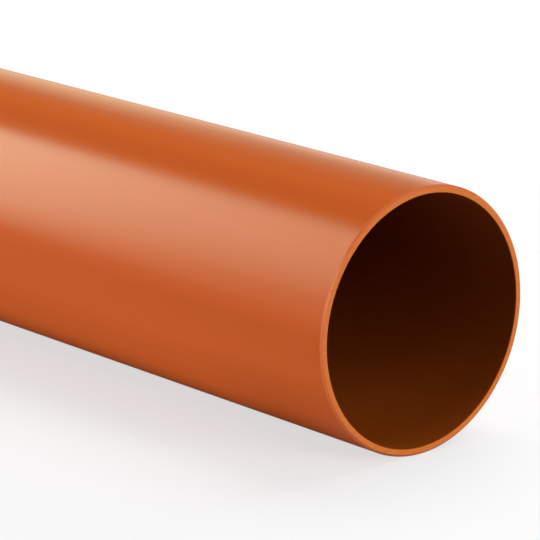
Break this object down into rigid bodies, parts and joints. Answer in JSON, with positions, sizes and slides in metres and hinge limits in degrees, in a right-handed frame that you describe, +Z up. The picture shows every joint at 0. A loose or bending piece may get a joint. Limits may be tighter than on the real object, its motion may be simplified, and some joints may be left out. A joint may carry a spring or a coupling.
{
  "type": "sewer pipe",
  "caption": "Straight round PVC-U sewer pipe with plain, square-cut, bevelled ends: an extruded tube that carries waste water and pushes into ring-seal sockets.",
  "frame": {"origin": "middle of the pipe's length, on its axis", "axes": "+X along the pipe's axis, towards the end that the picture shows; +Z up, with the pipe lying on the floor at its lowest line"},
  "size_m": [1, 0.11, 0.11],
  "materials": {
    "orange_brown_pvc": "satin"
  },
  "bodies": {
    "root": {"pipe": "orange_brown_pvc"}
  },
  "joints": []
}
